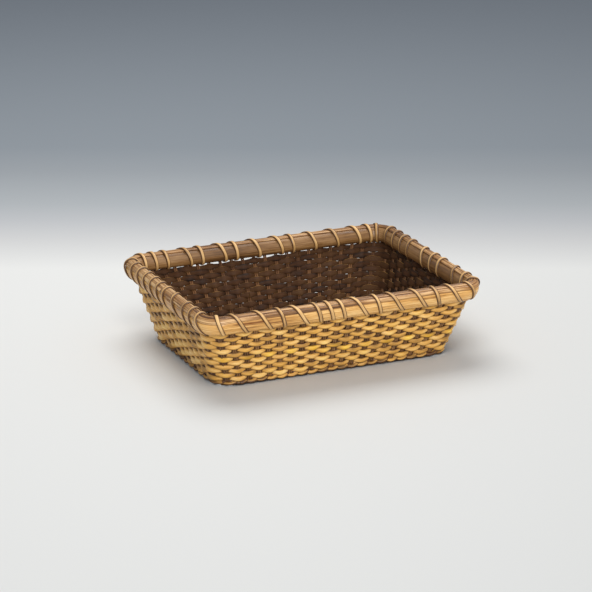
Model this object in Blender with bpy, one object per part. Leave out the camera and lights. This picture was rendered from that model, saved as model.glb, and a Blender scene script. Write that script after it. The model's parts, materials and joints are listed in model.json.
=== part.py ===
"""Rattan basket: an oblong tray basket in plain weave, with a rim lashed in split cane.

Frame: origin at the middle of the base on the table, +X along the long side, +Y to the back,
+Z up. Lengths are in metres.

How it is put together
  cross stakes  run down the back wall, across the base and up the front wall
  long stakes   run down one end wall, through the cross stakes and up the other end wall
  base weaver   one strand that goes to and fro between the long stakes
  weaver rows   one strand for each row of the walls, its two ends butted behind a stake
  rim           two half-round strips that hold the stakes between them, and a cane over the gap
  lashing       split cane wound round the rim through the gap above the top row
"""

import math

import bpy
from mathutils import Vector

MM = 0.001

# Outline of the basket, along the middle of the wall
RIM_LENGTH = 340.0 * MM
RIM_WIDTH = 255.5 * MM
RIM_CORNER = 21.0 * MM
RIM_HEIGHT = 83.5 * MM
BASE_LENGTH = 296.0 * MM
BASE_WIDTH = 200.0 * MM
BASE_CORNER = 22.0 * MM

# Stakes: each stands for two thin canes laid side by side
CROSS_STAKES = 22
LONG_STAKES = 12
STAKE_WIDTH = 4.4 * MM
STAKE_THICK = 2.2 * MM
STAKE_BEND = 2.0 * MM

# Weaving strands: the base weaver stands for two flat canes laid side by side, and the lowest
# row of the walls is pressed flat at their foot
WALL_ROWS = 13
FOOT_ROW_SHARE = 0.4
WEAVER_THICK = 1.5 * MM
ROW_START = 1.95 * MM
ROW_GAP = 0.4 * MM
ROW_DIP = 2.5 * MM
ROW_SPLICE_STEP = 9
BASE_WEAVER_WIDTH = 9.4 * MM
BASE_EDGE_SPACE = 0.8 * MM
BASE_TURN_REACH = 7.2 * MM
BASE_TAIL = 3.0 * MM
FLAT_FLOAT = 3.0 * MM

# Rim
STRIP_HEIGHT = 18.2 * MM
STRIP_THICK = 7.5 * MM
FILLER_WIDTH = 8.0 * MM
FILLER_THICK = 3.0 * MM
LIGHT_SLIT = 2.0 * MM
CORNER_STEPS = 8

# Lashing: for the front, right, back and left, how many stakes each turn moves on
LASH_WIDTH = 4.0 * MM
LASH_THICK = 1.6 * MM
LASH_GAP = 0.5 * MM
LASH_MOVES = (
    (1, 2, 2, 1, 2, 1, 1, 1, 2, 1, 2, 2, 1, 2, 1),
    (1, 1, 2, 1, 1, 2, 1, 1, 1, 1),
    (1, 1, 2, 2, 2, 1, 2, 2, 1, 2, 1, 2, 1, 1, 1),
    (1, 1, 1, 1, 1, 1, 1, 2, 1, 1, 1),
)

# Gap between pieces that touch, and between butted ends of one strand
CLEARANCE = 0.35 * MM
BUTT_GAP = 0.6 * MM

# Section shapes, as shares of a strand's width and thickness
STAKE_SHARES = ((-0.5, 0.0), (0.0, 0.5), (0.5, 0.0), (0.0, -0.5))
FLAT_SHARES = ((-0.5, -0.5), (-0.5, 0.5), (0.5, 0.5), (0.5, -0.5))
LASH_SHARES = ((-0.5, -0.5), (0.0, 0.5), (0.5, -0.5))
HALF_ROUND_SHARES = ((-0.5, 0.0), (-0.36, 0.7), (0.0, 1.0), (0.36, 0.7), (0.5, 0.0))
FILLER_SHARES = ((0.0, -0.5), (0.0, 0.5), (1.0, 0.28), (1.0, -0.28))
TURN_WIDTH_SHARE = 0.6
TURN_SPAN_SHARES = (0.25, 0.75)

# How far along its turn the lashing has come at each corner of its path round the rim
LASH_TURN_SHARES = (0.0, 0.02, 0.09, 0.18, 0.25, 0.42, 0.51, 0.67, 0.86, 1.0)

# The four sides in the order front, right, back, left: stakes, way along and way out
SIDES = (
    (CROSS_STAKES, Vector((1, 0, 0)), Vector((0, -1, 0))),
    (LONG_STAKES, Vector((0, 1, 0)), Vector((1, 0, 0))),
    (CROSS_STAKES, Vector((-1, 0, 0)), Vector((0, 1, 0))),
    (LONG_STAKES, Vector((0, -1, 0)), Vector((-1, 0, 0))),
)
STAKES_ROUND = 2 * (CROSS_STAKES + LONG_STAKES)
CORNER_STAKES = (0, CROSS_STAKES, CROSS_STAKES + LONG_STAKES, 2 * CROSS_STAKES + LONG_STAKES)
UP = Vector((0, 0, 1))

# Levels of the base weave: a long stake rides over and under the cross stakes
LONG_STAKE_LIFT = STAKE_THICK + CLEARANCE
BASE_LEVEL = LONG_STAKE_LIFT + STAKE_THICK / 2
WEAVER_LIFT = STAKE_THICK / 2 + WEAVER_THICK / 2 + CLEARANCE

# Rim section: the strips' flat faces, and the foot of the filler that lies on the strips
STRIP_FLAT = STAKE_THICK / 2 + CLEARANCE
FILLER_FOOT = STRIP_HEIGHT / 2 + CLEARANCE

RATTAN = {
    "stake": ((0.23, 0.12, 0.05), 0.55),
    "weaver": ((0.45, 0.25, 0.09), 0.5),
    "base": ((0.38, 0.21, 0.08), 0.55),
    "rim": ((0.47, 0.26, 0.1), 0.42),
    "filler": ((0.27, 0.14, 0.07), 0.45),
    "lashing": ((0.58, 0.38, 0.18), 0.42),
}


def clear_scene():
    for old in list(bpy.data.objects):
        bpy.data.objects.remove(old)


def collection(name):
    made = bpy.data.collections.new(name)
    bpy.context.scene.collection.children.link(made)
    return made


def finish(name):
    colour, roughness = RATTAN[name]
    made = bpy.data.materials.new(name)
    made.use_nodes = True
    shader = made.node_tree.nodes["Principled BSDF"]
    shader.inputs["Base Color"].default_value = (*colour, 1)
    shader.inputs["Roughness"].default_value = roughness
    shader.inputs["Metallic"].default_value = 0
    return made


# Outline and wall

def side_at(station):
    """The side that a station lies on, and its place along it from -1 to 1.

    Stations count stakes round the basket from the front left corner, so stake 0 is at 0."""
    along = (station + 0.5) % STAKES_ROUND
    for count, way, out in SIDES:
        if along <= count:
            return way, out, 2 * along / count - 1
        along -= count
    return SIDES[0][1], SIDES[0][2], -1.0


def straight_share(way):
    """Share of half a side, measured at the rim, that lies before its corner starts."""
    half = RIM_LENGTH / 2 if way.x else RIM_WIDTH / 2
    straight = half - RIM_CORNER
    return straight / (straight + math.pi / 4 * RIM_CORNER)


def outline(station, length, width, corner):
    """Point of a rounded oblong at a station, and the way along it there."""
    way, out, place = side_at(station)
    half, other_half = (length / 2, width / 2) if way.x else (width / 2, length / 2)
    straight = half - corner
    share = straight_share(way)
    turn = max(0.0, abs(place) - share) / (1 - share) * math.pi / 4
    along = straight * min(abs(place) / share, 1) + corner * math.sin(turn)
    depth = corner * (1 - math.cos(turn))
    point = way * math.copysign(along, place) + out * (other_half - depth)
    heading = way * math.cos(turn) - out * math.copysign(math.sin(turn), place)
    return point, heading


def wall(station, share):
    """Wall point at a station and a share of the way up to the rim, and the frame there.

    The frame is the wall's outward normal and the way up the wall, square to its outline."""
    foot, heading = outline(station, BASE_LENGTH, BASE_WIDTH, BASE_CORNER)
    head, heading = outline(station, RIM_LENGTH, RIM_WIDTH, RIM_CORNER)
    foot = foot + UP * BASE_LEVEL
    head = head + UP * RIM_HEIGHT
    normal = heading.cross(head - foot).normalized()
    return foot.lerp(head, share), normal, normal.cross(heading)


def leg_length(station):
    return (wall(station, 1)[0] - wall(station, 0)[0]).length


LEG_LENGTHS = [leg_length(stake) for stake in range(STAKES_ROUND)]
SHORT_LEG = min(LEG_LENGTHS)
ROWS_TOP = SHORT_LEG - STRIP_HEIGHT / 2 - LIGHT_SLIT
ROW_PITCH = (ROWS_TOP - ROW_START) / (WALL_ROWS - 1 + FOOT_ROW_SHARE)
WEAVER_WIDTH = ROW_PITCH - ROW_GAP
FOOT_WIDTH = ROW_PITCH * FOOT_ROW_SHARE - ROW_GAP


# Strands

def section(name, shares, width, thick, across_shift=0.0, out_shift=0.0):
    """Closed outline of a strand's section, clockwise, drawn across its width and outwards."""
    data = bpy.data.curves.new(name, "CURVE")
    data.dimensions = "2D"
    line = data.splines.new("POLY")
    line.points.add(len(shares) - 1)
    clockwise = shares if width * thick > 0 else shares[::-1]
    for point, (across, out) in zip(line.points, clockwise):
        point.co = (across * width + across_shift, out * thick + out_shift, 0, 1)
    line.use_cyclic_u = True
    guide = bpy.data.objects.new(name, data)
    guide.hide_render = True
    guide.display_type = "WIRE"
    guides.objects.link(guide)
    return guide


def roll(heading, out):
    """Tilt that turns a section from upright to face out."""
    right = heading.cross(UP).normalized()
    upright = right.cross(heading)
    return math.atan2(out.dot(right), out.dot(upright))


def strand(name, path, profile, material):
    """A strand along a path of (point, out, width share), with its section facing out."""
    data = bpy.data.curves.new(name, "CURVE")
    data.dimensions = "3D"
    data.twist_mode = "Z_UP"
    data.bevel_mode = "OBJECT"
    data.bevel_object = profile
    data.use_fill_caps = True
    line = data.splines.new("POLY")
    line.points.add(len(path) - 1)
    points = [step[0] for step in path]
    ways = [(b - a).normalized() for a, b in zip(points, points[1:])]
    headings = [a + b for a, b in zip(ways[:1] + ways, ways + ways[-1:])]
    for knot, (point, out, radius), heading in zip(line.points, path, headings):
        knot.co = (*point, 1)
        knot.radius = radius
        knot.tilt = roll(heading.normalized(), out)
    data.materials.append(material)
    made = bpy.data.objects.new(name, data)
    basket.objects.link(made)
    return made


# Stakes

def stake_leg(station):
    """Top, upper bend and lower bend of a stake on one wall, with the frame facing inwards."""
    foot, normal, up = wall(station, 0)
    head, normal, up = wall(station, 1)
    leg = (head - foot).normalized()
    top = head + leg * (STRIP_HEIGHT / 2 - CLEARANCE)
    run = -side_at(station)[1]
    return [(top, -normal, 1), (foot + leg * STAKE_BEND, -normal, 1), (foot + run * STAKE_BEND, UP, 1)]


def make_cross_stakes():
    for stake in range(CROSS_STAKES):
        far = 2 * CROSS_STAKES + LONG_STAKES - 1 - stake
        path = stake_leg(stake) + stake_leg(far)[::-1]
        strand(f"cross_stake_{stake + 1:02d}", path, stake_section, stake_finish)


def cross_places():
    """Where the cross stakes lie along X on the base, from left to right."""
    return [wall(stake, 0)[0].x for stake in range(CROSS_STAKES)]


def long_places():
    """Where the long stakes lie along Y on the base, from front to back."""
    return [wall(CROSS_STAKES + stake, 0)[0].y for stake in range(LONG_STAKES)]


def make_long_stakes():
    for stake, y in enumerate(long_places()):
        right = CROSS_STAKES + stake
        left = STAKES_ROUND - 1 - stake
        run = []
        for number, x in enumerate(cross_places()):
            lift = LONG_STAKE_LIFT if number % 2 == 0 else -LONG_STAKE_LIFT
            run.append((Vector((x, y, BASE_LEVEL + lift)), UP, 1))
        path = stake_leg(left) + run + stake_leg(right)[::-1]
        strand(f"long_stake_{stake + 1:02d}", path, stake_section, stake_finish)


# Weaving

def base_passes(edge_share):
    """Where the base weaver crosses, along Y: between the long stakes and outside the last ones.

    Outside them it lies against them, so its middle depends on the share of its width there."""
    places = long_places()
    between = [(a + b) / 2 for a, b in zip(places, places[1:])]
    edge = STAKE_WIDTH / 2 + BASE_EDGE_SPACE + BASE_WEAVER_WIDTH * edge_share / 2
    return [places[0] - edge] + between + [places[-1] + edge]


def make_base_weaver():
    """The strand lies under the first cross stake and over the last, against the long stakes.

    Its first, middle and last pass lie flat under the stakes: the basket rests on them. It is
    narrower at its turns, and where the first and last pass end in the corners of the base."""
    crossings = cross_places()
    passes = base_passes(1)
    ends = base_passes(TURN_WIDTH_SHARE)
    end_widths = [TURN_WIDTH_SHARE] + [1] * (len(passes) - 2) + [TURN_WIDTH_SHARE]
    flat_passes = (0, len(passes) // 2, len(passes) - 1)
    low = WEAVER_THICK / 2
    high = BASE_LEVEL + WEAVER_LIFT
    path = []
    for row, y in enumerate(passes):
        rightwards = row % 2 == 0
        points = []
        for number, x in enumerate(crossings):
            at_end = number in (0, len(crossings) - 1)
            place, width = (ends[row], end_widths[row]) if at_end else (y, 1)
            if number % 2:
                points.append((Vector((x, place, high)), UP, width))
            elif row in flat_passes:
                half = Vector((FLAT_FLOAT / 2, 0, 0))
                middle = Vector((x, place, low))
                points += [(middle - half, UP, width), (middle + half, UP, width)]
            else:
                points.append((Vector((x, place, low)), UP, width))
        path += points if rightwards else points[::-1]
        if row + 1 < len(passes):
            end = path[-1][0]
            way = 1 if rightwards else -1
            level = high if rightwards else BASE_LEVEL - WEAVER_LIFT
            step = ends[row + 1] - ends[row]
            straight = Vector((way * STAKE_WIDTH / 2, 0, 0))
            turn = Vector((end.x + way * BASE_TURN_REACH, end.y, level))
            path.append((end + straight, UP, end_widths[row]))
            for share in TURN_SPAN_SHARES:
                path.append((turn + Vector((0, step * share, 0)), UP, TURN_WIDTH_SHARE))
            path.append((end + straight + Vector((0, step, 0)), UP, end_widths[row + 1]))
    start = path[0][0] - Vector((BASE_TAIL, 0, 0))
    end = path[-1][0] + Vector((BASE_TAIL, 0, 0))
    path = [(start, UP, end_widths[0])] + path + [(end, UP, end_widths[-1])]
    strand("base_weaver", path, base_section, base_finish)


def swings(stake):
    """Where a wall strand goes from a stake, each way round: the station, and the lifts between.

    In the middle of a corner the strand crosses over, so there it has only one lift to go."""
    return [(stake + way / 2, 1) if crosses_corner(stake, way) else (stake + way, 2)
            for way in (-1, 1)]


def crosses_corner(stake, way):
    return max(stake, stake + way) % STAKES_ROUND in CORNER_STAKES


def wall_lift(stake, share, side, width):
    """How far a wall strand's middle stands off the stakes' middle to clear one stake.

    It clears the stake's ridge and, as it slopes away to its neighbours, both of its edges.
    A stake that leans sideways meets the strand's upper and lower edge off its middle."""
    here, normal, up = wall(stake, share)
    leg = wall(stake, 1)[0] - wall(stake, 0)[0]
    lean = abs(leg.dot(up.cross(normal))) / leg.dot(up)
    skew = width / 2 * lean
    half = STAKE_WIDTH / 2 * math.hypot(1, lean)
    lift = WEAVER_LIFT
    for beside, lifts in swings(stake):
        apart = wall(beside, share)[0] - here
        drop = -apart.dot(normal) * side
        reach = math.sqrt(apart.length_squared - drop * drop)
        for across, height in ((skew, STAKE_THICK / 2), (skew + half, 0)):
            slip = across / reach
            room = CLEARANCE + WEAVER_THICK / 2 + height + drop * slip
            lift = max(lift, room / (1 - lifts * slip))
    return lift


def row_step(row, station, stake, side):
    """Middle of a row's strand at a station: side is 1 outside the stakes and -1 inside them."""
    reach = ROW_START + (FOOT_ROW_SHARE + row - 0.5) * ROW_PITCH
    width = WEAVER_WIDTH
    if row == 0:
        reach = ROW_START + FOOT_ROW_SHARE / 2 * ROW_PITCH - ROW_DIP * max(side, 0)
        width = FOOT_WIDTH
    share = reach / SHORT_LEG
    point, normal, up = wall(station, share)
    lift = wall_lift(stake, share, side, width) if side else 0
    return point + normal * lift * side, normal, 1


def row_path(row):
    """Once round the wall, outside one stake and inside the next.

    The strand starts and ends behind one stake, and crosses over in the middle of each corner."""
    first = (ROW_SPLICE_STEP * row + 1) % STAKES_ROUND
    last = first + STAKES_ROUND
    spacing = (wall(first + 0.5, 0)[0] - wall(first, 0)[0]).length * 2
    tail = BUTT_GAP / 2 / spacing
    path = [row_step(row, first + tail, first, -1)]
    for stake in range(first + 1, last + 1):
        if crosses_corner(stake, -1):
            path.append(row_step(row, stake - 0.5, stake, 0))
        side = 1 if (stake - first) % 2 else -1
        station = last - tail if stake == last else stake
        path.append(row_step(row, station, stake, side))
    return path


def make_weaver_rows():
    """Each row's joint lies a few stakes on from the joint of the row below."""
    strand("weaver_row_01", row_path(0), foot_section, weaver_finish)
    for row in range(1, WALL_ROWS):
        strand(f"weaver_row_{row + 1:02d}", row_path(row), weaver_section, weaver_finish)


# Rim

def rim_stations():
    """Stations of the rim's path: close together round the corners, none along the straights."""
    steps = CORNER_STEPS // 2
    stations = []
    first = -0.5
    for count, way, out in SIDES:
        straight = straight_share(way)
        rounds = [(1 - straight) * step / steps for step in range(steps + 1)]
        places = [-1 + turn for turn in rounds] + [straight + turn for turn in rounds[:-1]]
        stations += [first + (place + 1) / 2 * count for place in places]
        first += count
    return stations


def rim_path(start):
    """Once round the rim, from a butted joint at one station back to it."""
    stations = [station + STAKES_ROUND * (station < start) for station in rim_stations()]
    path = []
    for station in [start] + sorted(stations) + [start + STAKES_ROUND]:
        point, normal, up = wall(station, 1)
        path.append((point, normal, 1))
    heading = (path[1][0] - path[0][0]).normalized()
    path[0] = (path[0][0] + heading * BUTT_GAP / 2, path[0][1], 1)
    path[-1] = (path[-1][0] - heading * BUTT_GAP / 2, path[-1][1], 1)
    return path


def make_rim():
    front, right, back, left = [side[0] for side in SIDES]
    right_middle = front + (right - 1) / 2
    left_middle = front + right + back + (left - 1) / 2
    strand("rim_outer_strip", rim_path(left_middle), outer_section, rim_finish)
    strand("rim_inner_strip", rim_path(right_middle), inner_section, rim_finish)
    strand("rim_top_filler", rim_path(left_middle), filler_section, filler_finish)


# Lashing

def lash_corners():
    """Corners of the lashing's path round the rim's section, as (outwards, up), and their ways out.

    They start at the bottom inside and go up, over the top and down the outside."""
    strip = [(STRIP_FLAT + out * STRIP_THICK, up * STRIP_HEIGHT) for up, out in HALF_ROUND_SHARES]
    crest = (FILLER_SHARES[2][1] * FILLER_WIDTH, FILLER_FOOT + FILLER_THICK)
    half = [Vector(corner) for corner in strip[:-1] + [crest]]
    mirrored = [Vector((-corner.x, corner.y)) for corner in half]
    hull = mirrored + half[::-1]
    off = LASH_GAP + LASH_THICK / 2
    path = []
    for before, corner, after in zip(hull[-1:] + hull[:-1], hull, hull[1:] + hull[:1]):
        first = (corner - before).normalized()
        second = (after - corner).normalized()
        out = Vector((-first.y, first.x)) + Vector((-second.y, second.x))
        out.normalize()
        lean = out.dot(Vector((-first.y, first.x)))
        path.append((corner + out * off / lean, out))
    return path


def lash_step(station, corner, out):
    """One corner of the lashing at a station on the rim."""
    point, normal, up = wall(station, 1)
    place = point + normal * corner.x + up * corner.y
    return place, normal * out.x + up * out.y, 1


def lash_gaps(side):
    """Stations where a length of lashing goes under the rim, each in a gap between two stakes.

    It shares its first and last gap, at the corners, with its neighbours."""
    count = SIDES[side][0]
    moves = LASH_MOVES[side]
    start = sum(other[0] for other in SIDES[:side]) - 0.5
    gaps = [start + round(sum(moves[:turn]) * count / sum(moves)) for turn in range(len(moves) + 1)]
    gaps[0] += tail_shift(start)
    gaps[-1] -= tail_shift(start + count)
    return gaps


def lash_path(side):
    """The turns of one length of lashing, from the gap at one corner to the gap at the next.

    Each turn goes up the inside, over the top and down the outside, and then under the rim
    through a gap between two stakes."""
    gaps = lash_gaps(side)
    corners = lash_corners()
    foot = Vector((0, corners[0][0].y))
    down = Vector((0, -1))
    path = [lash_step(gaps[0], foot, down)]
    for gap, beyond in zip(gaps, gaps[1:]):
        for (corner, out), share in zip(corners, LASH_TURN_SHARES):
            path.append(lash_step(gap + (beyond - gap) * share, corner, out))
    path.append(lash_step(gaps[-1], foot, down))
    return path


def tail_shift(station):
    """Stations by which two lengths of lashing lie apart where they share a corner gap."""
    spacing = (wall(station + 0.5, 1)[0] - wall(station, 1)[0]).length * 2
    return (LASH_WIDTH / 2 + 2 * LASH_GAP) / spacing


def least_gap(path):
    """Least gap between one turn of a wound strand and the next."""
    corners = len(LASH_TURN_SHARES)
    points = [step[0] for step in path]
    apart = [(b - a).length for a, b in zip(points, points[corners:])]
    return min(apart) - LASH_WIDTH


def make_lashing():
    for side, name in enumerate(("front", "right", "back", "left")):
        path = lash_path(side)
        strand(f"rim_lashing_{name}", path, lash_section, lash_finish)
        print(f"rim_lashing_{name}: least gap to itself {least_gap(path) / MM:.2f} mm")


clear_scene()
basket = collection("rattan_basket")
guides = collection("guides")
stake_finish = finish("stake")
weaver_finish = finish("weaver")
base_finish = finish("base")
rim_finish = finish("rim")
filler_finish = finish("filler")
lash_finish = finish("lashing")

stake_section = section("stake_section", STAKE_SHARES, STAKE_WIDTH, STAKE_THICK)
weaver_section = section("weaver_section", FLAT_SHARES, WEAVER_WIDTH, WEAVER_THICK)
foot_section = section("foot_section", FLAT_SHARES, FOOT_WIDTH, WEAVER_THICK)
base_section = section("base_section", FLAT_SHARES, BASE_WEAVER_WIDTH, WEAVER_THICK)
outer_section = section("outer_section", HALF_ROUND_SHARES, STRIP_HEIGHT, STRIP_THICK,
                        out_shift=STRIP_FLAT)
inner_section = section("inner_section", HALF_ROUND_SHARES, STRIP_HEIGHT, -STRIP_THICK,
                        out_shift=-STRIP_FLAT)
filler_section = section("filler_section", FILLER_SHARES, -FILLER_THICK, FILLER_WIDTH,
                         across_shift=-FILLER_FOOT)
lash_section = section("lash_section", LASH_SHARES, LASH_WIDTH, LASH_THICK)

make_cross_stakes()
make_long_stakes()
make_base_weaver()
make_weaver_rows()
make_rim()
make_lashing()
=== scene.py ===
"""Rattan basket: an oblong tray basket in plain weave, its rim lashed with split cane."""

import json
import math
import random
from collections import namedtuple

import bmesh
import bpy
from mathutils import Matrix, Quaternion, Vector

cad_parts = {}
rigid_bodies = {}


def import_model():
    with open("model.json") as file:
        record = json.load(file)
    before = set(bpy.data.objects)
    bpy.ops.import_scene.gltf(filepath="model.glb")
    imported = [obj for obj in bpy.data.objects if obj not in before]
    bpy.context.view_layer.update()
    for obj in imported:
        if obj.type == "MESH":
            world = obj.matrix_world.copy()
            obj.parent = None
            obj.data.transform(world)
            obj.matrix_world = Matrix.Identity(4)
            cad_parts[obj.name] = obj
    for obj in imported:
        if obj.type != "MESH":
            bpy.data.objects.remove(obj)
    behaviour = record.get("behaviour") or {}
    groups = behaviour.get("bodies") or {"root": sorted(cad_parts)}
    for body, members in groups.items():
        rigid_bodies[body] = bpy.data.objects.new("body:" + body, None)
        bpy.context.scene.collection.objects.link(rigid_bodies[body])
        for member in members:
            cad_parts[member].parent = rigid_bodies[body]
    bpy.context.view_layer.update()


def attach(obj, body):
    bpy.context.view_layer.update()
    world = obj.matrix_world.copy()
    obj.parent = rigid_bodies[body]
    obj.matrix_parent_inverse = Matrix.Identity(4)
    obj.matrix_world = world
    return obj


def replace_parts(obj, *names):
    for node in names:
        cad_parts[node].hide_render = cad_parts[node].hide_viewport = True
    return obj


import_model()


# Cross stakes. Each is a pair of thin round rattan canes laid side by side, with the brown skin left
# on. They are soaked, bent up at the edge of the base, and stand in the front and back walls, where
# the two strips of the rim hold their ends.

MM = 0.001
UP = Vector((0, 0, 1))
RIM_LENGTH = 340 * MM
RIM_WIDTH = 255.5 * MM
RIM_CORNER = 21 * MM
RIM_HEIGHT = 83.5 * MM
BASE_LENGTH = 296 * MM
BASE_WIDTH = 200 * MM
BASE_CORNER = 22 * MM
BASE_LEVEL = 3.65 * MM
STRIP_HEIGHT = 18.2 * MM
CROSS_STAKES = 22
LONG_STAKES = 12
STAKES_ROUND = 2 * (CROSS_STAKES + LONG_STAKES)

# The four sides: how many stakes stand in each, the way along it and the way out of it.
SIDES = (
    (CROSS_STAKES, Vector((1, 0, 0)), Vector((0, -1, 0))),
    (LONG_STAKES, Vector((0, 1, 0)), Vector((1, 0, 0))),
    (CROSS_STAKES, Vector((-1, 0, 0)), Vector((0, 1, 0))),
    (LONG_STAKES, Vector((0, -1, 0)), Vector((-1, 0, 0))),
)
FRONT, RIGHT, BACK, LEFT = range(4)
LENGTHWISE = SIDES[FRONT][1]
CROSSWISE = SIDES[RIGHT][1]

CANE_RADIUS = 1.08 * MM
CANE_SPACING = 2.24 * MM
CANE_WANDER = 0.12 * MM
WANDER_RATES = (60, 160)
WAVE_STARTS = (0, 6)
CANE_BEND = 5 * MM
BEND_STEPS = 6
CANE_STEP = 3 * MM
CANE_SIDES = 8
CROSS_STAKE_SEED = 100
STAKE_TONES = (0.3, 0.75)
PAIR_CONTRAST = 0.1
STAKE_COLOURS = ((0.06, 0.026, 0.01), (0.25, 0.122, 0.045), (0.46, 0.26, 0.11))

# Painted shade: every strand's tone is darkened towards its two edges, where it meets its neighbours, for
# the shade and shadow lines there. EDGE_FALL sets how close to the edges it keeps.
EDGE_PAINTED_SHADE = 0.22
EDGE_FALL = 3
BACK_APART = 0.5
SHARP_EDGE = math.radians(60)

FIBRE_RATES = (60, 1300)
FIBRE_CONTRAST = 0.2
BLOTCH_RATES = (45, 260)
BLOTCH_CONTRAST = 0.12
STRAND_APART = 7.3
NOISE_RANGE = (0.3, 0.7)
NOISE_ROUGHNESS = 0.6
FIBRE_DETAIL = 3.0
BLOTCH_DETAIL = 2.0
INNER_RANGE = (0.45, 0.75)
INNER_DULLNESS = 0.3
GLOSS_RANGE = (-0.08, 0.12)
BUMP_STRENGTH = 0.6
BUMP_DEPTH = 0.2 * MM

# A step of a strand: its middle, the way across it and out of it, how wide it is, how far it
# bulges outwards and inwards, how light and how golden its skin is there, and how much painted
# shade darkens its outer face.
Step = namedtuple("Step", "middle across out width crown belly tone gold shade", defaults=(0, 0))


def side_at(station):
    """Way along, way out and place from -1 to 1 on the side where a station lies.

    Stations count the stakes round from the front left corner."""
    along = (station + 0.5) % STAKES_ROUND
    for count, way, out in SIDES:
        if along <= count:
            return way, out, 2 * along / count - 1
        along -= count
    return SIDES[FRONT][1], SIDES[FRONT][2], -1


def straight_share(way):
    """The straight part of half a side, as a share of it with its half of the corner."""
    straight = (RIM_LENGTH if way.x else RIM_WIDTH) / 2 - RIM_CORNER
    return straight / (straight + math.pi / 4 * RIM_CORNER)


def outline(station, length, width, corner):
    """Point of a rounded oblong at a station, and the way along it."""
    way, out, place = side_at(station)
    half, other_half = (length / 2, width / 2) if way.x else (width / 2, length / 2)
    share = straight_share(way)
    turn = max(0, abs(place) - share) / (1 - share) * math.pi / 4
    along = (half - corner) * min(abs(place) / share, 1) + corner * math.sin(turn)
    depth = other_half - corner * (1 - math.cos(turn))
    point = way * math.copysign(along, place) + out * depth
    return point, way * math.cos(turn) - out * math.copysign(math.sin(turn), place)


def wall(station, share):
    """Point of the wall's middle, its outward normal and the way up it."""
    foot, heading = outline(station, BASE_LENGTH, BASE_WIDTH, BASE_CORNER)
    head, heading = outline(station, RIM_LENGTH, RIM_WIDTH, RIM_CORNER)
    foot = foot + UP * BASE_LEVEL
    head = head + UP * RIM_HEIGHT
    normal = heading.cross(head - foot).normalized()
    return foot.lerp(head, share), normal, normal.cross(heading)


def power(value, exponent):
    """A value raised to a power with its sign kept."""
    return math.copysign(abs(value) ** exponent, value)


def oval(sides, squareness=1.0):
    """Section points as (across, out), from -1 to 1. Squareness under 1 fills out the corners."""
    turns = [2 * math.pi * side / sides for side in range(sides)]
    return [(power(math.cos(turn), squareness), power(math.sin(turn), squareness)) for turn in turns]


def headings(points):
    """The way along a line at each of its points."""
    ways = [(b - a).normalized() for a, b in zip(points, points[1:])]
    return [(a + b).normalized() for a, b in zip(ways[:1] + ways, ways + ways[-1:])]


def square_to(heading, way):
    """A way turned just enough to be square to a heading."""
    return (way - heading * heading.dot(way)).normalized()


def rounded(corners, reach):
    """A line through corners, each but the ends replaced by a bend that starts at reach from it."""
    line = [corners[0]]
    for before, corner, after in zip(corners, corners[1:], corners[2:]):
        start = corner + (before - corner).normalized() * reach
        end = corner + (after - corner).normalized() * reach
        for step in range(BEND_STEPS + 1):
            share = step / BEND_STEPS
            line.append(start.lerp(corner, share).lerp(corner.lerp(end, share), share))
    return line + [corners[-1]]


def resample(line, length):
    """Points along a line with no stretch longer than a length."""
    points = [line[0]]
    for start, end in zip(line, line[1:]):
        pieces = max(1, math.ceil((end - start).length / length))
        points += [start.lerp(end, piece / pieces) for piece in range(1, pieces + 1)]
    return points


def strand_skin(steps, section, number, edge_painted_shade):
    """Points of one strand's skin, and the marks that its finish reads at each of them."""
    points = []
    marks = []
    along = 0
    for index, step in enumerate(steps):
        if index:
            along += (step.middle - steps[index - 1].middle).length
        for across, out in section:
            bulge = step.crown if out > 0 else step.belly
            points.append(step.middle + step.across * across * step.width / 2 + step.out * out * bulge)
            skin = (along, across * step.width / 2, number + (BACK_APART if out < 0 else 0))
            # The tone takes painted shade towards the edges, and painted shade on the outer face by the
            # step's shade.
            tone = step.tone - edge_painted_shade * abs(across) ** EDGE_FALL - step.shade * max(out, 0)
            marks.append({"skin": skin, "inner": 0.5 - out / 2, "tone": tone, "gold": step.gold})
    return points, marks


def strand_faces(first, rows, count):
    """Faces of one strand of rows of points, from its first point on, with both ends closed."""
    faces = []
    for index in range(rows - 1):
        row = first + index * count
        for side in range(count):
            other = (side + 1) % count
            faces.append((row + side, row + other, row + count + other, row + count + side))
    last = first + (rows - 1) * count
    return faces + [tuple(range(first, first + count))[::-1], tuple(range(last, last + count))]


def build_piece(name, strands, section, finish, edge_painted_shade=EDGE_PAINTED_SHADE):
    """One mesh of several strands, with the marks that their finish reads.

    skin is the place on a strand, along and round it, in metres, with the strand's number;
    inner is 1 on the face that looks into the basket and 0 on the outer skin."""
    verts, faces, marks = [], [], []
    for number, steps in enumerate(strands):
        faces += strand_faces(len(verts), len(steps), len(section))
        points, point_marks = strand_skin(steps, section, number, edge_painted_shade)
        verts += points
        marks += point_marks
    mesh = bpy.data.meshes.new(name)
    mesh.from_pydata(verts, [], faces)
    skin = mesh.attributes.new("skin", "FLOAT_VECTOR", "POINT")
    skin.data.foreach_set("vector", [number for point in marks for number in point["skin"]])
    for kind in ("inner", "tone", "gold"):
        attribute = mesh.attributes.new(kind, "FLOAT", "POINT")
        attribute.data.foreach_set("value", [point[kind] for point in marks])
    work = bmesh.new()
    work.from_mesh(mesh)
    bmesh.ops.recalc_face_normals(work, faces=work.faces)
    work.to_mesh(mesh)
    work.free()
    mesh.shade_smooth()
    mesh.set_sharp_from_angle(angle=SHARP_EDGE)
    mesh.materials.append(finish)
    piece = bpy.data.objects.new(name, mesh)
    bpy.context.scene.collection.objects.link(piece)
    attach(piece, "root")
    return piece


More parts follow.
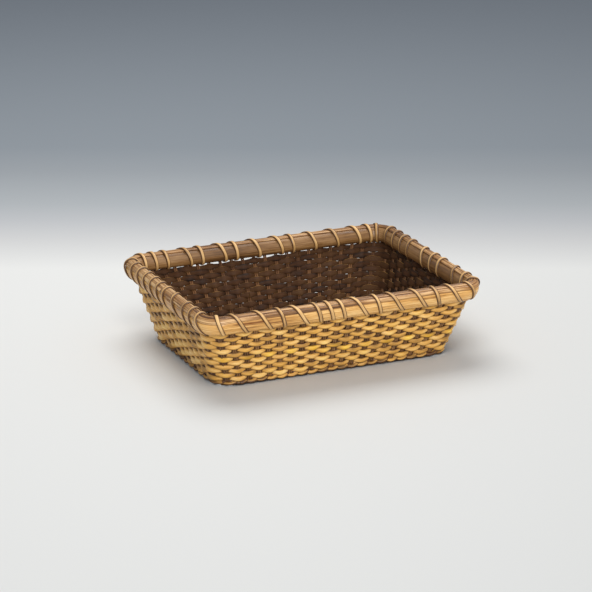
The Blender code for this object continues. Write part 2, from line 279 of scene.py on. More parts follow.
def add_node(tree, kind, inputs=None, **settings):
    """A node of a kind. An input is a value, or the output socket that feeds it."""
    node = tree.nodes.new(kind)
    for setting, value in settings.items():
        setattr(node, setting, value)
    for key, value in (inputs or {}).items():
        if isinstance(value, bpy.types.NodeSocket):
            tree.links.new(value, node.inputs[key])
        else:
            node.inputs[key].default_value = value
    return node


def add_ramp(tree, share, stops):
    """Colour at a share, from stops that are each a position and a colour."""
    ramp = add_node(tree, "ShaderNodeValToRGB", {"Fac": share})
    elements = ramp.color_ramp.elements
    for position, colour in stops[1:-1]:
        elements.new(position).color = (*colour, 1)
    for element, (position, colour) in ((elements[0], stops[0]), (elements[-1], stops[-1])):
        element.position = position
        element.color = (*colour, 1)
    return ramp.outputs[0]


def maths(tree, operation, first, second):
    return add_node(tree, "ShaderNodeMath", {0: first, 1: second}, operation=operation).outputs[0]


def strand_mark(tree, name):
    """A mark that strand_skin has left on a mesh."""
    node = add_node(tree, "ShaderNodeAttribute", attribute_name=name)
    return node.outputs["Vector" if name == "skin" else "Fac"]


def tinted(tree, share, colour, tint):
    """A colour multiplied by a tint, by a share."""
    node = add_node(tree, "ShaderNodeMix", {0: share, 6: colour}, data_type="RGBA",
                    blend_type="MULTIPLY")
    node.inputs[7].default_value = (*tint, 1)
    return node.outputs[2]


def streaks(tree, rates, detail):
    """Noise drawn out lengthwise on a strand: how often it changes each metre along and across."""
    scaled = add_node(tree, "ShaderNodeVectorMath",
                      {0: strand_mark(tree, "skin"), 1: (*rates, STRAND_APART)}, operation="MULTIPLY")
    noise = add_node(tree, "ShaderNodeTexNoise", {"Vector": scaled.outputs[0], "Scale": 1.0,
                                                  "Detail": detail, "Roughness": NOISE_ROUGHNESS})
    return noise.outputs["Fac"]


def spread(tree, value, low, high):
    """Noise spread out between two values."""
    node = add_node(tree, "ShaderNodeMapRange", {"Value": value, "From Min": NOISE_RANGE[0],
                                                 "From Max": NOISE_RANGE[1],
                                                 "To Min": low, "To Max": high})
    return node.outputs[0]


def cane_finish(name, colours, inner, gold, gloss, grain=1.0, rates=FIBRE_RATES):
    """Cane skin: dark to light colours with the strand's tone, streaked along its fibres.

    Its inner face is duller, and some stretches are golden."""
    made = bpy.data.materials.new(name)
    made.use_nodes = True
    tree = made.node_tree
    shader = tree.nodes["Principled BSDF"]
    fibre = streaks(tree, rates, FIBRE_DETAIL)
    blotch = streaks(tree, BLOTCH_RATES, BLOTCH_DETAIL)
    fibre_tone = spread(tree, fibre, -FIBRE_CONTRAST * grain, FIBRE_CONTRAST * grain)
    tone = maths(tree, "ADD", strand_mark(tree, "tone"), fibre_tone)
    tone = maths(tree, "ADD", tone, spread(tree, blotch, -BLOTCH_CONTRAST, BLOTCH_CONTRAST))
    stops = [(number / (len(colours) - 1), colour) for number, colour in enumerate(colours)]
    inside = add_node(tree, "ShaderNodeMapRange", {"Value": strand_mark(tree, "inner"),
                                                   "From Min": INNER_RANGE[0],
                                                   "From Max": INNER_RANGE[1]}).outputs[0]
    skin = tinted(tree, strand_mark(tree, "gold"), add_ramp(tree, tone, stops), gold)
    skin = tinted(tree, inside, skin, inner)
    tree.links.new(skin, shader.inputs["Base Color"])
    dull = maths(tree, "MULTIPLY", inside, INNER_DULLNESS)
    rough = spread(tree, blotch, gloss + GLOSS_RANGE[0], gloss + GLOSS_RANGE[1])
    tree.links.new(maths(tree, "ADD", rough, dull), shader.inputs["Roughness"])
    bump = add_node(tree, "ShaderNodeBump", {"Height": fibre, "Strength": BUMP_STRENGTH * grain,
                                             "Distance": BUMP_DEPTH})
    tree.links.new(bump.outputs[0], shader.inputs["Normal"])
    return made


stake_finish = cane_finish("stake_cane", STAKE_COLOURS, inner=(0.62, 0.5, 0.42), gold=(1.1, 0.9, 0.6),
                           gloss=0.42)


def cane_pair(line, across_way, seed):
    """Steps of the two canes of a stake that follows a line."""
    draw = random.Random(seed)
    tone = draw.uniform(*STAKE_TONES)
    waves = [(draw.uniform(*WANDER_RATES), draw.uniform(*WAVE_STARTS)) for number in range(2)]
    canes = []
    for place, (rate, start) in zip((-0.5, 0.5), waves):
        steps = []
        for point, heading in zip(line, headings(line)):
            across = square_to(heading, across_way)
            out = across.cross(heading)
            wander = CANE_WANDER * math.sin(start + rate * (point.x + point.y + point.z))
            middle = point + across * CANE_SPACING * place + out * wander
            steps.append(Step(middle, across, out, 2 * CANE_RADIUS, CANE_RADIUS, CANE_RADIUS,
                              tone + PAIR_CONTRAST * place))
        canes.append(steps)
    return canes


def stake_top(station):
    """The end of a stake, a little below the top of the rim's strips."""
    foot, head = wall(station, 0)[0], wall(station, 1)[0]
    return head + (head - foot).normalized() * (STRIP_HEIGHT / 2 - CANE_SPACING)


for stake in range(CROSS_STAKES):
    far = 2 * CROSS_STAKES + LONG_STAKES - 1 - stake
    corners = [stake_top(far), wall(far, 0)[0], wall(stake, 0)[0], stake_top(stake)]
    canes = cane_pair(resample(rounded(corners, CANE_BEND), CANE_STEP), LENGTHWISE,
                      CROSS_STAKE_SEED + stake)
    name = f"cross_stake_{stake + 1:02d}"
    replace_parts(build_piece(name + "_canes", canes, oval(CANE_SIDES), stake_finish), name)


# Long stakes. The same pairs of round cane, in the two end walls. On the base they go over one
# cross stake and under the next, so the cross stakes and they hold each other.

LONG_STAKE_LIFT = 2.44 * MM
LONG_STAKE_SEED = 200
STEPS_A_STAKE = 8
BASE_STATIONS = [step / STEPS_A_STAKE for step in range((CROSS_STAKES - 1) * STEPS_A_STAKE + 1)]


def long_stake_line(number):
    """Down the left end wall, across the base in a wave and up the right end wall."""
    right = CROSS_STAKES + number
    left = STAKES_ROUND - 1 - number
    y = wall(right, 0)[0].y
    run = []
    for station in BASE_STATIONS:
        lift = LONG_STAKE_LIFT * math.cos(math.pi * station)
        run.append(Vector((wall(station, 0)[0].x, y, BASE_LEVEL + lift)))
    down = rounded([stake_top(left), wall(left, 0)[0], run[0]], CANE_BEND)[:-1]
    rise = rounded([run[-1], wall(right, 0)[0], stake_top(right)], CANE_BEND)[1:]
    return resample(down + run + rise, CANE_STEP)


for number in range(LONG_STAKES):
    name = f"long_stake_{number + 1:02d}"
    canes = cane_pair(long_stake_line(number), CROSSWISE, LONG_STAKE_SEED + number)
    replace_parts(build_piece(name + "_canes", canes, oval(CANE_SIDES), stake_finish), name)


# Base weaver. Two flat split canes, side by side, go to and fro between the long stakes, under
# one cross stake and over the next. The basket stands on the lowest of their floats.

BASE_WEAVER_WIDTH = 9.4 * MM
BASE_CANE_WIDTH = 5.2 * MM
BASE_CANE_CROWN = 0.95 * MM
BASE_CANE_BELLY = 0.75 * MM
BASE_CANE_SIDES = 10
FLAT_SQUARENESS = 0.8
WEAVER_LIFT = 2.2 * MM
BASE_CANE_OFF = 0.1 * MM
BASE_CANE_LOW = BASE_CANE_CROWN + BASE_CANE_OFF
BASE_CANE_HIGH = BASE_LEVEL + WEAVER_LIFT
BASE_EDGE_SPACE = 3.2 * MM
BASE_TURN_REACH = 8.2 * MM
BASE_END_OUT = 5 * MM
BASE_END_IN = 1.5 * MM
EDGE_WIDTH_SHARE = 0.6
EDGE_RUN_SHARE = 1.3
STAKE_WIDTH = 4.4 * MM
BASE_TONE = 0.5
BASE_TONE_SWING = 0.25
BASE_TONE_RATES = (70, 130)
BASE_COLOURS = ((0.08, 0.035, 0.012), (0.26, 0.13, 0.045), (0.45, 0.27, 0.1))

base_finish = cane_finish("base_cane", BASE_COLOURS, inner=(0.62, 0.52, 0.45), gold=(1.1, 0.9, 0.6),
                          gloss=0.5)


def base_passes(edge_share):
    """Where the weaver's passes lie along Y: between the long stakes, and outside the last ones."""
    places = [wall(CROSS_STAKES + stake, 0)[0].y for stake in range(LONG_STAKES)]
    edge = STAKE_WIDTH / 2 + BASE_EDGE_SPACE + BASE_WEAVER_WIDTH * edge_share / 2
    return [places[0] - edge] + [(a + b) / 2 for a, b in zip(places, places[1:])] + [places[-1] + edge]


def base_pass(run_place, end_place, run_share, end_share, beside):
    """Points and width shares of one pass, from left to right. Its two ends may lie further in."""
    points = []
    for station in BASE_STATIONS:
        inward = min(1, station, CROSS_STAKES - 1 - station)
        share = end_share + (run_share - end_share) * inward
        y = end_place + (run_place - end_place) * inward + beside * share
        swing = (1 - math.cos(math.pi * station)) / 2
        z = BASE_CANE_LOW + (BASE_CANE_HIGH - BASE_CANE_LOW) * swing
        points.append((Vector((wall(station, 0)[0].x, y, z)), share))
    return points


def base_turn(end, next_place, beside, way):
    """The bend at the end of a pass, out past the last cross stake and back to the next pass."""
    beyond = Vector((end.x, next_place, end.z))
    out = LENGTHWISE * (BASE_TURN_REACH - beside) * way
    level = UP * ((BASE_CANE_HIGH if way > 0 else BASE_LEVEL - WEAVER_LIFT) - end.z)
    turn = rounded([end, end + out + level, beyond + out + level, beyond], BASE_TURN_REACH / 2)
    return [(point, EDGE_WIDTH_SHARE) for point in turn[1:-1]]


def free_end(end):
    """Where a free end of a cane is tucked in, past the last cross stake and a little inwards."""
    tuck = Vector((math.copysign(BASE_END_OUT, end.x), -math.copysign(BASE_END_IN, end.y), 0))
    return end + tuck, EDGE_WIDTH_SHARE


def base_line(beside):
    """Points and width shares of one of the two canes, a little to one side of their common line.

    The first and the last pass are wide, to close the edge of the base, and narrow at their ends."""
    runs = base_passes(1)
    ends = base_passes(EDGE_WIDTH_SHARE)
    end_shares = [EDGE_WIDTH_SHARE] + [1] * (len(runs) - 2) + [EDGE_WIDTH_SHARE]
    run_shares = [EDGE_RUN_SHARE] + [1] * (len(runs) - 2) + [EDGE_RUN_SHARE]
    line = []
    for row, places in enumerate(zip(runs, ends, run_shares, end_shares)):
        way = 1 if row % 2 == 0 else -1
        line += base_pass(*places, beside * way)[::way]
        if row + 1 < len(runs):
            next_place = ends[row + 1] - beside * end_shares[row + 1] * way
            line += base_turn(line[-1][0], next_place, beside, way)
    return [free_end(line[0][0])] + line + [free_end(line[-1][0])]


def flat_cane(line, out_way, shift):
    """Steps of a flat cane along points with width shares, its tone in slow patches."""
    steps = []
    for (point, share), heading in zip(line, headings([place[0] for place in line])):
        out = square_to(heading, out_way)
        patch = math.sin(point.x * BASE_TONE_RATES[0] + shift) * math.sin(point.y * BASE_TONE_RATES[1])
        steps.append(Step(point, heading.cross(out), out, BASE_CANE_WIDTH * share, BASE_CANE_CROWN,
                          BASE_CANE_BELLY, BASE_TONE + BASE_TONE_SWING * patch))
    return steps


base_canes = [flat_cane(base_line(side * BASE_WEAVER_WIDTH / 4), -UP, side) for side in (-1, 1)]
piece = build_piece("base_weaver_canes", base_canes, oval(BASE_CANE_SIDES, FLAT_SQUARENESS),
                    base_finish)
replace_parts(piece, "base_weaver")


# Weaver rows. Thirteen rows of split rattan, thick and rounded, with the golden skin outwards. Each
# goes outside one stake and inside the next, is pressed down on the row below, and its two ends
# are butted behind a stake. The lowest row is two thin canes twined round each other.

WALL_ROWS = 13
FOOT_ROW_SHARE = 0.4
ROW_START = 1.95 * MM
ROW_DIP = 2.8 * MM
LIGHT_SLIT = 1.75 * MM
SLIT_STATION = 46
SLIT_REACH = 5.5
SLIT_ROUND = 4
SHORT_LEG = min((wall(stake, 1)[0] - wall(stake, 0)[0]).length for stake in range(STAKES_ROUND))
ROW_PITCH = (SHORT_LEG - STRIP_HEIGHT / 2 - LIGHT_SLIT - ROW_START) / (WALL_ROWS - 1 + FOOT_ROW_SHARE)
ROW_SPLICE_STEP = 9
BUTT_GAP = 0.6 * MM
ROW_CROWN = 1.6 * MM
ROW_BELLY = 0.9 * MM
ROW_SIDES = 12
ROW_SQUARENESS = 0.85
ROW_LIFT = 2.1 * MM
ROW_BIAS = 0.5
CORNER_TIGHTNESS = 0.6
CORNER_REACH = 1.5

FLOAT_WIDTH_SHARE = 1.04
OUTSIDE_WIDENING = 0.12
INSIDE_WIDENING = 0.3
FRONT_INSIDE_WIDENING = 0.45
INSIDE_ROUND = 0.5
FRONT_NARROWING = 0.16
END_WALL_WIDENING = 0.12
ROW_SAG = 0.75 * MM
FRONT_SAG = 0.3 * MM
ROW_WOBBLE = 0.3 * MM
ROW_LEAN = math.radians(-22)
ROW_ROLL = math.radians(4)
FOOT_WIDTH_SHARE = 0.72
FOOT_TWIST = 0.8 * MM
# The lowest row is turned so that its dark inner face shows along its underside.
FOOT_LEAN = math.radians(-60)

ROW_SEED = 300
TWIN_SEED = 320
FLOAT_TONES = (0.3, 0.85)
PLAIN_SHARES = (0, 0.3)
GOLDEN_SHARES = (0.55, 1)
GOLDEN_STRETCHES = {6: (0, 12), 5: (9, 22)}
# Painted shade: a row's outer face is darkened, towards the darkest weaver colour, where it dives behind a
# stake, for the dark windows of the weave. The margin sets where it starts, the rate how fast it deepens.
ROW_PAINTED_SHADE = 0.75
PAINTED_SHADE_MARGIN = 0.15
PAINTED_SHADE_RATE = 2
# Painted shade: the lowest row is darkened all along, for the dark line where the basket meets the floor.
FOOT_PAINTED_SHADE = 0.25
# Painted shade at the rows' edges, stronger than on other strands, for the dark lines between rows.
ROW_EDGE_PAINTED_SHADE = 0.45
WEAVER_COLOURS = ((0.085, 0.028, 0.006), (0.72, 0.375, 0.08), (1.0, 0.7, 0.3))

# The inner tint darkens the rows' inner faces: partly their own duller colour, partly painted shade for the
# shaded inside of the basket.
weaver_finish = cane_finish("weaver_cane", WEAVER_COLOURS, inner=(0.09, 0.055, 0.028),
                            gold=(1.1, 1.14, 0.42), gloss=0.5)


def row_floats(row, seed):
    """What differs from float to float: tone, gold, how far it lies up or down, and its roll."""
    draw = random.Random(seed)
    first, last = GOLDEN_STRETCHES.get(row, (0, 0))
    floats = []
    for stake in range(STAKES_ROUND):
        golden = draw.uniform(*(GOLDEN_SHARES if first <= stake < last else PLAIN_SHARES))
        floats.append((draw.uniform(*FLOAT_TONES), golden, draw.uniform(-1, 1) * ROW_WOBBLE,
                       draw.uniform(-1, 1) * ROW_ROLL))
    return floats


def between_floats(floats, station):
    """What the floats on both sides of a station give there, eased from one to the next."""
    near = floats[math.floor(station) % STAKES_ROUND]
    far = floats[math.ceil(station) % STAKES_ROUND]
    share = station - math.floor(station)
    ease = share * share * (3 - 2 * share)
    return [a + (b - a) * ease for a, b in zip(near, far)]


def near_corner(station):
    """Falls from 1 in the middle of a corner to 0 at the second stake from it."""
    way, out, place = side_at(station)
    count = CROSS_STAKES if way.x else LONG_STAKES
    return max(0, 1 - (1 - abs(place)) * count / 2 / CORNER_REACH)


def row_place(row, twin, floats, station):
    """Middle, wall's normal, width, tone, gold, roll and painted shade of a row at a station.

    Its swing is 1 where it is furthest out, over a stake, and -1 where it is furthest in. The rows
    stay low near one stake of the back wall, so that light shows under the rim there."""
    tone, gold, wobble, roll = between_floats(floats, station)
    phase = math.pi * (station - row - twin)
    swing = math.cos(phase) + ROW_BIAS
    swing /= 1 + math.copysign(ROW_BIAS, swing)
    outside, inside = max(swing, 0), max(-swing, 0)
    foot, normal, up = wall(station, 0)
    head = wall(station, 1)[0]
    front = max(0, -normal.y)
    closed = min(1, abs(station % STAKES_ROUND - SLIT_STATION) / SLIT_REACH) ** SLIT_ROUND
    reach = ROW_START + (FOOT_ROW_SHARE + row - 0.5) * ROW_PITCH + wobble
    reach += LIGHT_SLIT * closed * row / WALL_ROWS - (ROW_SAG + FRONT_SAG * front) * outside
    lift = ROW_LIFT * swing * (1 - CORNER_TIGHTNESS * near_corner(station))
    broad = FLOAT_WIDTH_SHARE + OUTSIDE_WIDENING * outside
    broad += (INSIDE_WIDENING + FRONT_INSIDE_WIDENING * front) * inside ** INSIDE_ROUND
    broad += END_WALL_WIDENING * abs(side_at(station)[0].y) - FRONT_NARROWING * front
    lean = ROW_LEAN * outside
    if row == 0:
        reach = ROW_START + FOOT_ROW_SHARE / 2 * ROW_PITCH - ROW_DIP * (1 + swing) / 2
        lift += FOOT_TWIST * math.sin(phase)
        broad = FOOT_WIDTH_SHARE
        lean = FOOT_LEAN
        # Painted shade for the dark line along the foot.
        tone -= FOOT_PAINTED_SHADE
    middle = foot.lerp(head, reach / SHORT_LEG) + normal * lift
    width = ROW_PITCH * ((head - foot).length / SHORT_LEG) * broad
    # Painted shade on the outer face where the row dives in behind a stake.
    shade = ROW_PAINTED_SHADE * min(1, max(0, PAINTED_SHADE_MARGIN - PAINTED_SHADE_RATE * swing))
    return middle, normal, width, tone, gold * outside, roll + lean, shade


def butted(steps):
    """A strand that goes once round, its two ends drawn back a little from each other."""
    ways = headings([step.middle for step in steps])
    for end, inward in ((0, 1), (-1, -1)):
        steps[end] = steps[end]._replace(middle=steps[end].middle + ways[end] * inward * BUTT_GAP / 2)
    return steps


def row_steps(row, twin=0):
    """Steps of a row. The lowest row's twin is out where the other cane is in."""
    floats = row_floats(row, (TWIN_SEED if twin else ROW_SEED) + row)
    first = (ROW_SPLICE_STEP * row + 1) % STAKES_ROUND
    stations = [first + step / STEPS_A_STAKE for step in range(STAKES_ROUND * STEPS_A_STAKE + 1)]
    places = [row_place(row, twin, floats, station) for station in stations]
    steps = []
    for place, heading in zip(places, headings([place[0] for place in places])):
        middle, normal, width, tone, gold, roll, shade = place
        out = square_to(heading, normal)
        out.rotate(Quaternion(heading, roll))
        steps.append(Step(middle, heading.cross(out), out, width, ROW_CROWN, ROW_BELLY, tone, gold, shade))
    return butted(steps)


for row in range(WALL_ROWS):
    name = f"weaver_row_{row + 1:02d}"
    strands = [row_steps(row), row_steps(row, 1)] if row == 0 else [row_steps(row)]
    piece = build_piece(name + "_cane", strands, oval(ROW_SIDES, ROW_SQUARENESS), weaver_finish,
                        ROW_EDGE_PAINTED_SHADE)
    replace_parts(piece, name)


# Rim strips. A rattan pole, split lengthwise into two half-rounds and steamed round the corners,
# holds the stakes' ends between its halves. The outer half keeps its golden skin. The inner half is
# coloured much darker and browner: partly a duller skin, partly painted shade for the rim's inner side.

STRIP_THICK = 7.5 * MM
STRIP_FLAT = 1.45 * MM
STRIP_BACK = 0.01 * MM
POLE_ARC = 16
POLE_SQUARENESS = (0.85, 0.7)
CORNER_STEPS = 12
SIDE_STEPS = 20
OUTER_SEED = 41
INNER_SEED = 42
POLE_TONE = 0.52
POLE_TONE_SWING = 0.1
POLE_TONE_RATES = (0.55, 0.23)
POLE_UNEVENNESS = 0.012
POLE_UNEVEN_RATE = 0.8
POLE_RATES = (14, 620)
OUTER_POLE_COLOURS = ((0.2, 0.065, 0.01), (0.71, 0.375, 0.105), (1.0, 0.69, 0.31))
# The inner half's colours are darker than the outer half's, partly as painted shade.
INNER_POLE_COLOURS = ((0.07, 0.027, 0.008), (0.25, 0.122, 0.04), (0.46, 0.265, 0.11))

outer_finish = cane_finish("rim_pole", OUTER_POLE_COLOURS, inner=(0.5, 0.42, 0.36),
                           gold=(1.1, 0.9, 0.55), gloss=0.33, grain=2.2, rates=POLE_RATES)
inner_finish = cane_finish("rim_pole_inside", INNER_POLE_COLOURS, inner=(0.5, 0.42, 0.36),
                           gold=(1.1, 0.9, 0.55), gloss=0.38, grain=1.3, rates=POLE_RATES)


def side_start(side):
    """The station at which a side starts, in the middle of a corner."""
    return sum(other[0] for other in SIDES[:side]) - 0.5


def side_middle(side):
    return side_start(side) + SIDES[side][0] / 2


def rim_stations(start):
    """Stations once round the rim from a start, close together round the corners."""
    stations = []
    for side, (count, way, out) in enumerate(SIDES):
        straight = straight_share(way)
        rounds = [(1 - straight) * step * 2 / CORNER_STEPS for step in range(CORNER_STEPS // 2 + 1)]
        flats = [-straight + 2 * straight * step / SIDE_STEPS for step in range(1, SIDE_STEPS)]
        places = [-1 + turn for turn in rounds] + flats + [straight + turn for turn in rounds[:-1]]
        stations += [side_start(side) + (place + 1) / 2 * count for place in places]
    later = [station + STAKES_ROUND * (station <= start) for station in stations]
    return [start] + sorted(later) + [start + STAKES_ROUND]


def strip_steps(start, way_out, seed):
    """Steps of one strip. Its crown is the round face, and its belly the flat one on the stakes."""
    draw = random.Random(seed)
    light, dark, uneven = [draw.uniform(*WAVE_STARTS) for number in range(3)]
    steps = []
    for station in rim_stations(start):
        point, normal, up = wall(station, 1)
        out = normal * way_out
        wave = math.sin(light + station * POLE_TONE_RATES[0]) + math.sin(dark + station * POLE_TONE_RATES[1])
        thick = STRIP_THICK * (1 + POLE_UNEVENNESS * math.sin(uneven + station * POLE_UNEVEN_RATE))
        steps.append(Step(point + out * STRIP_FLAT, up, out, STRIP_HEIGHT, thick, STRIP_BACK,
                          POLE_TONE + POLE_TONE_SWING * wave))
    return butted(steps)


def half_pole():
    """Section of half a pole: a round face from edge to edge and a flat one behind it."""
    turns = [math.pi * step / POLE_ARC for step in range(1, POLE_ARC)]
    across, out = POLE_SQUARENESS
    return [(1, 0)] + [(power(math.cos(turn), across), math.sin(turn) ** out) for turn in turns] + [(-1, 0)]


piece = build_piece("rim_outer_strip_pole", [strip_steps(side_middle(LEFT), 1, OUTER_SEED)],
                    half_pole(), outer_finish)
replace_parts(piece, "rim_outer_strip")
piece = build_piece("rim_inner_strip_pole", [strip_steps(side_middle(RIGHT), -1, INNER_SEED)],
                    half_pole(), inner_finish)
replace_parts(piece, "rim_inner_strip")


# Rim filler. Three thin flat canes lie side by side on top of the two strips and close the gap over
# the stakes' ends. They are pinkish brown, with a painted highlight that makes them paler over the
# left end, and the lashing holds them down.

FILLER_FOOT = 9.45 * MM
FILLER_THICK = 3 * MM
FILLER_CANES = 3
FILLER_CANE_WIDTH = 5.2 * MM
FILLER_CROWN = 0.9 * MM
FILLER_BELLY = 1.2 * MM
FILLER_SIDES = 10
FILLER_ROUND = 7.5 * MM
FILLER_LEAN = math.radians(38)
FILLER_SEED = 60
FILLER_TONE = 0.5
FILLER_TONE_SWING = 0.16
FILLER_TONE_RATE = 0.4
FILLER_SPECK = 0.05
PAINTED_HIGHLIGHT_STATION = 60
PAINTED_HIGHLIGHT_REACH = 9
PAINTED_HIGHLIGHT_TONE = 0.35
FILLER_COLOURS = ((0.07, 0.024, 0.007), (0.36, 0.17, 0.052), (0.78, 0.5, 0.24))

filler_finish = cane_finish("filler_cane", FILLER_COLOURS, inner=(0.7, 0.6, 0.5), gold=(1.6, 1.6, 1.0),
                            gloss=0.36, grain=2.2, rates=POLE_RATES)


def filler_cane(number):
    """Steps of one of the flat canes, laid over the round of the two strips' upper edges."""
    draw = random.Random(FILLER_SEED + number)
    phase = draw.uniform(*WAVE_STARTS)
    lean = (number - (FILLER_CANES - 1) / 2) * FILLER_LEAN
    steps = []
    for station in rim_stations(side_middle(LEFT)):
        point, normal, up = wall(station, 1)
        out = up * math.cos(lean) + normal * math.sin(lean)
        across = normal * math.cos(lean) - up * math.sin(lean)
        middle = point + up * (FILLER_FOOT + FILLER_THICK - FILLER_CROWN - FILLER_ROUND)
        middle += out * FILLER_ROUND
        tone = FILLER_TONE + FILLER_TONE_SWING * math.sin(phase + station * FILLER_TONE_RATE)
        tone += draw.uniform(-FILLER_SPECK, FILLER_SPECK)
        # Painted highlight: lighter over the left end of the rim, falling off along it.
        tone += PAINTED_HIGHLIGHT_TONE * max(0.0, 1 - abs(station % STAKES_ROUND - PAINTED_HIGHLIGHT_STATION) / PAINTED_HIGHLIGHT_REACH)
        steps.append(Step(middle, across, out, FILLER_CANE_WIDTH, FILLER_CROWN, FILLER_BELLY, tone))
    return butted(steps)


filler_canes = [filler_cane(number) for number in range(FILLER_CANES)]
piece = build_piece("rim_top_filler_canes", filler_canes, oval(FILLER_SIDES, FLAT_SQUARENESS),
                    filler_finish)
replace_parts(piece, "rim_top_filler")


# Lashing. Narrow split cane, half round and pale tan, wound round the whole rim. Each turn goes up
# the inside, over the top, down the outside, and back under the rim through a gap between stakes.

LASH_WIDTH = 5 * MM
LASH_CROWN = 1.3 * MM
LASH_BELLY = 0.3 * MM
LASH_SIDES = 10
LASH_OFF = 0.35 * MM
LASH_ROUND = 0.86
LASH_TURN_STEPS = 30
LASH_UNDER_SHARE = 0.04
LASH_LATE = 1.6
LASH_TAIL = 3 * MM
LASH_SEED = 70
LASH_TONES = (0.4, 0.75)
LASH_END_TONE = 0.5
# Painted shade: the turns' edges are darkened strongly, towards the darkest lashing colour, as the shadow
# lines beside each turn.
LASH_EDGE_PAINTED_SHADE = 1.25
LASH_COLOURS = ((0.1, 0.04, 0.012), (0.68, 0.4, 0.15), (0.95, 0.66, 0.33))

# For the front, right, back and left: how many gaps between stakes each turn moves on.
LASH_MOVES = (
    (1, 2, 2, 1, 2, 1, 1, 1, 2, 1, 2, 2, 1, 2, 1),
    (1, 1, 2, 1, 1, 2, 1, 1, 1, 1),
    (1, 1, 2, 2, 2, 1, 2, 2, 1, 2, 1, 2, 1, 1, 1),
    (1, 1, 1, 1, 1, 1, 1, 2, 1, 1, 1),
)

lash_finish = cane_finish("lashing_cane", LASH_COLOURS, inner=(0.55, 0.45, 0.35), gold=(1.1, 0.9, 0.6),
                          gloss=0.42)


def lash_place(turn):
    """Place and way out on the lashing's path round the rim, from below (0) up the inside and over."""
    angle = -math.pi / 2 - 2 * math.pi * turn
    top = FILLER_FOOT + FILLER_THICK + LASH_OFF
    bottom = -STRIP_HEIGHT / 2 - LASH_OFF
    half = Vector((STRIP_FLAT + STRIP_THICK + LASH_OFF, (top - bottom) / 2))
    place = Vector((power(math.cos(angle), LASH_ROUND) * half.x,
                    power(math.sin(angle), LASH_ROUND) * half.y + (top + bottom) / 2))
    way = Vector((power(math.cos(angle), 2 - LASH_ROUND) / half.x,
                  power(math.sin(angle), 2 - LASH_ROUND) / half.y)).normalized()
    return place, way


def lash_gaps(side):
    """Stations where a length of lashing goes under the rim, its two ends short of the corners."""
    count = SIDES[side][0]
    moves = LASH_MOVES[side]
    start = side_start(side)
    gaps = [start + round(sum(moves[:turn]) * count / sum(moves)) for turn in range(len(moves) + 1)]
    for end, inward in ((0, 1), (-1, -1)):
        spacing = (wall(gaps[end] + 0.5, 1)[0] - wall(gaps[end], 1)[0]).length * 2
        gaps[end] += inward * LASH_TAIL / spacing
    return gaps


def lash_rows(side):
    """Station, place, way out and tone along a length of lashing.

    It moves on along the rim mostly in the second half of each turn, down the outside."""
    draw = random.Random(LASH_SEED + side)
    gaps = lash_gaps(side)
    places = [lash_place(step / LASH_TURN_STEPS) for step in range(LASH_TURN_STEPS + 1)]
    lengths = [0]
    for (here, way), (there, next_way) in zip(places, places[1:]):
        lengths.append(lengths[-1] + (there - here).length)
    rows = []
    for gap, beyond in zip(gaps, gaps[1:]):
        tone = draw.uniform(*LASH_TONES)
        for (place, way), length in zip(places[:-1], lengths):
            share = (length / lengths[-1] - LASH_UNDER_SHARE) / (1 - 2 * LASH_UNDER_SHARE)
            station = gap + (beyond - gap) * min(max(share, 0), 1) ** LASH_LATE
            rows.append((station, place, way, tone))
    rows.append((gaps[-1], *places[-1], LASH_END_TONE))
    return rows


def lash_steps(side):
    """Steps of one length of lashing, wound round the rim."""
    points, outs, tones = [], [], []
    for station, place, way, tone in lash_rows(side):
        point, normal, up = wall(station, 1)
        points.append(point + normal * place.x + up * place.y)
        outs.append(normal * way.x + up * way.y)
        tones.append(tone)
    steps = []
    for point, way_out, tone, heading in zip(points, outs, tones, headings(points)):
        out = square_to(heading, way_out)
        steps.append(Step(point, heading.cross(out), out, LASH_WIDTH, LASH_CROWN, LASH_BELLY, tone))
    return steps


for side, name in enumerate(("front", "right", "back", "left")):
    node = f"rim_lashing_{name}"
    piece = build_piece(node + "_cane", [lash_steps(side)], oval(LASH_SIDES, FLAT_SQUARENESS),
                        lash_finish, LASH_EDGE_PAINTED_SHADE)
    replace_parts(piece, node)


# Floor and studio. A pale paper that turns bluish grey behind the basket: its darkening with
# distance is painted shade, where the light falls off. A wide soft lamp on the right and a weaker one
# low in front light the basket, two more light the paper round it, and the camera stands at the
# photograph's place.

PAPER_SIZE = 30.0
PAPER_ROUGHNESS = 0.75
# Paper colours by distance away from the camera: pale near the basket, darkened further back as painted
# shade.
PAPER_COLOURS_WITH_PAINTED_SHADE = ((0.3, (0.74, 0.745, 0.74)), (0.43, (0.57, 0.575, 0.585)), (0.52, (0.455, 0.47, 0.495)),
                 (0.6, (0.375, 0.4, 0.425)), (0.77, (0.28, 0.305, 0.335)), (0.9, (0.235, 0.265, 0.3)),
                 (2.0, (0.2, 0.23, 0.27)))
PAPER_SHADE_REACH = PAPER_COLOURS_WITH_PAINTED_SHADE[-1][0]

KEY_LIGHT = (1.0, 0.98, 0.95)
FRONT_LIGHT = (1.0, 0.98, 0.93)
PAPER_BACK_LIGHT = (1.0, 0.985, 0.95)
PAPER_FRONT_LIGHT = (1.0, 0.99, 0.96)
AIR_COLOUR = (0.93, 0.96, 1.0)
AIR_STRENGTH = 0.4

CAMERA_TURN = math.radians(-23.93)
CAMERA_RISE = math.radians(19.21)
CAMERA_DISTANCE = 9.811 * RIM_LENGTH
CAMERA_FOCUS_PIXELS = 2787
CAMERA_SENSOR = 36
CAMERA_REACH = 50
PHOTO_PIXELS = 592
PHOTO_OFFSET_PIXELS = (4.2, 48.49)

back = Vector((math.sin(CAMERA_TURN) * math.cos(CAMERA_RISE),
               -math.cos(CAMERA_TURN) * math.cos(CAMERA_RISE), math.sin(CAMERA_RISE)))
away = Vector((-back.x, -back.y, 0)).normalized()
aside = UP.cross(away)

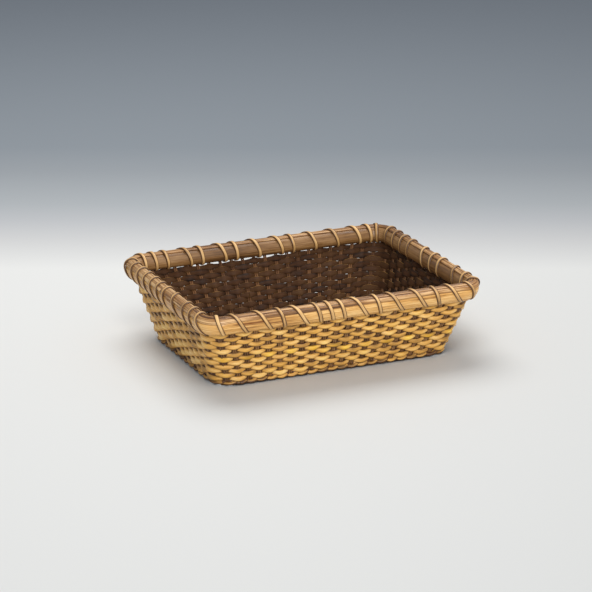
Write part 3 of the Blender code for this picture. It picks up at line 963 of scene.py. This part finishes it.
paper = bpy.data.materials.new("paper")
paper.use_nodes = True
tree = paper.node_tree
place = add_node(tree, "ShaderNodeTexCoord").outputs["Object"]
# Painted shade: the paper darkens with its distance away from the camera.
reach = add_node(tree, "ShaderNodeVectorMath", {0: place, 1: away}, operation="DOT_PRODUCT")
share = maths(tree, "DIVIDE", reach.outputs["Value"], PAPER_SHADE_REACH)
paper_shaded_colour = add_ramp(tree, share, [(distance / PAPER_SHADE_REACH, colour) for distance, colour in PAPER_COLOURS_WITH_PAINTED_SHADE])
tree.links.new(paper_shaded_colour, tree.nodes["Principled BSDF"].inputs["Base Color"])
tree.nodes["Principled BSDF"].inputs["Roughness"].default_value = PAPER_ROUGHNESS

floor_mesh = bpy.data.meshes.new("studio_paper")
corners = [way_along * PAPER_SIZE + way_aside * PAPER_SIZE
           for way_along, way_aside in ((-away, -aside), (-away, aside), (away, aside), (away, -aside))]
floor_mesh.from_pydata(corners, [], [(3, 2, 1, 0)])
floor_mesh.materials.append(paper)
floor = bpy.data.objects.new("studio_paper", floor_mesh)
bpy.context.scene.collection.objects.link(floor)

basket_only = bpy.data.collections.new("basket_only")
paper_only = bpy.data.collections.new("paper_only")
for piece in bpy.context.scene.objects:
    if piece.type == "MESH":
        lit_group = paper_only if piece == floor else basket_only
        lit_group.objects.link(piece)


def soft_lamp(name, place, size, watts, colour, lit_group):
    """A round lamp that faces the basket and lights one group of things."""
    data = bpy.data.lights.new(name, "AREA")
    data.shape = "DISK"
    data.size = size
    data.energy = watts
    data.color = colour
    lamp = bpy.data.objects.new(name, data)
    lamp.location = place
    lamp.rotation_euler = (-Vector(place)).to_track_quat("-Z", "Y").to_euler()
    lamp.light_linking.receiver_collection = lit_group
    bpy.context.scene.collection.objects.link(lamp)


soft_lamp("key", place=(1.2, 0.1, 1.95), size=1.9, watts=34, colour=KEY_LIGHT, lit_group=basket_only)
soft_lamp("low_front", place=(-0.25, -1.75, 1.15), size=1.1, watts=28.5, colour=FRONT_LIGHT,
          lit_group=basket_only)
soft_lamp("behind", place=(0.05, 0.78, 1.8), size=1.6, watts=25.5, colour=PAPER_BACK_LIGHT,
          lit_group=paper_only)
soft_lamp("fill", place=(-0.65, -1.3, 1.9), size=1.1, watts=16.3, colour=PAPER_FRONT_LIGHT,
          lit_group=paper_only)
world = bpy.data.worlds.new("studio_air")
bpy.context.scene.world = world
world.use_nodes = True
world.node_tree.nodes["Background"].inputs["Color"].default_value = (*AIR_COLOUR, 1)
world.node_tree.nodes["Background"].inputs["Strength"].default_value = AIR_STRENGTH
bpy.context.scene.view_settings.view_transform = "Standard"

camera_data = bpy.data.cameras.new("photo_camera")
camera_data.sensor_width = CAMERA_SENSOR
camera_data.lens = CAMERA_FOCUS_PIXELS / PHOTO_PIXELS * CAMERA_SENSOR
camera_data.shift_x = -PHOTO_OFFSET_PIXELS[0] / PHOTO_PIXELS
camera_data.shift_y = PHOTO_OFFSET_PIXELS[1] / PHOTO_PIXELS
camera_data.clip_end = CAMERA_REACH
camera = bpy.data.objects.new("photo_camera", camera_data)
camera.location = back * CAMERA_DISTANCE
camera.rotation_euler = back.to_track_quat("Z", "Y").to_euler()
bpy.context.scene.collection.objects.link(camera)
bpy.context.scene.camera = camera
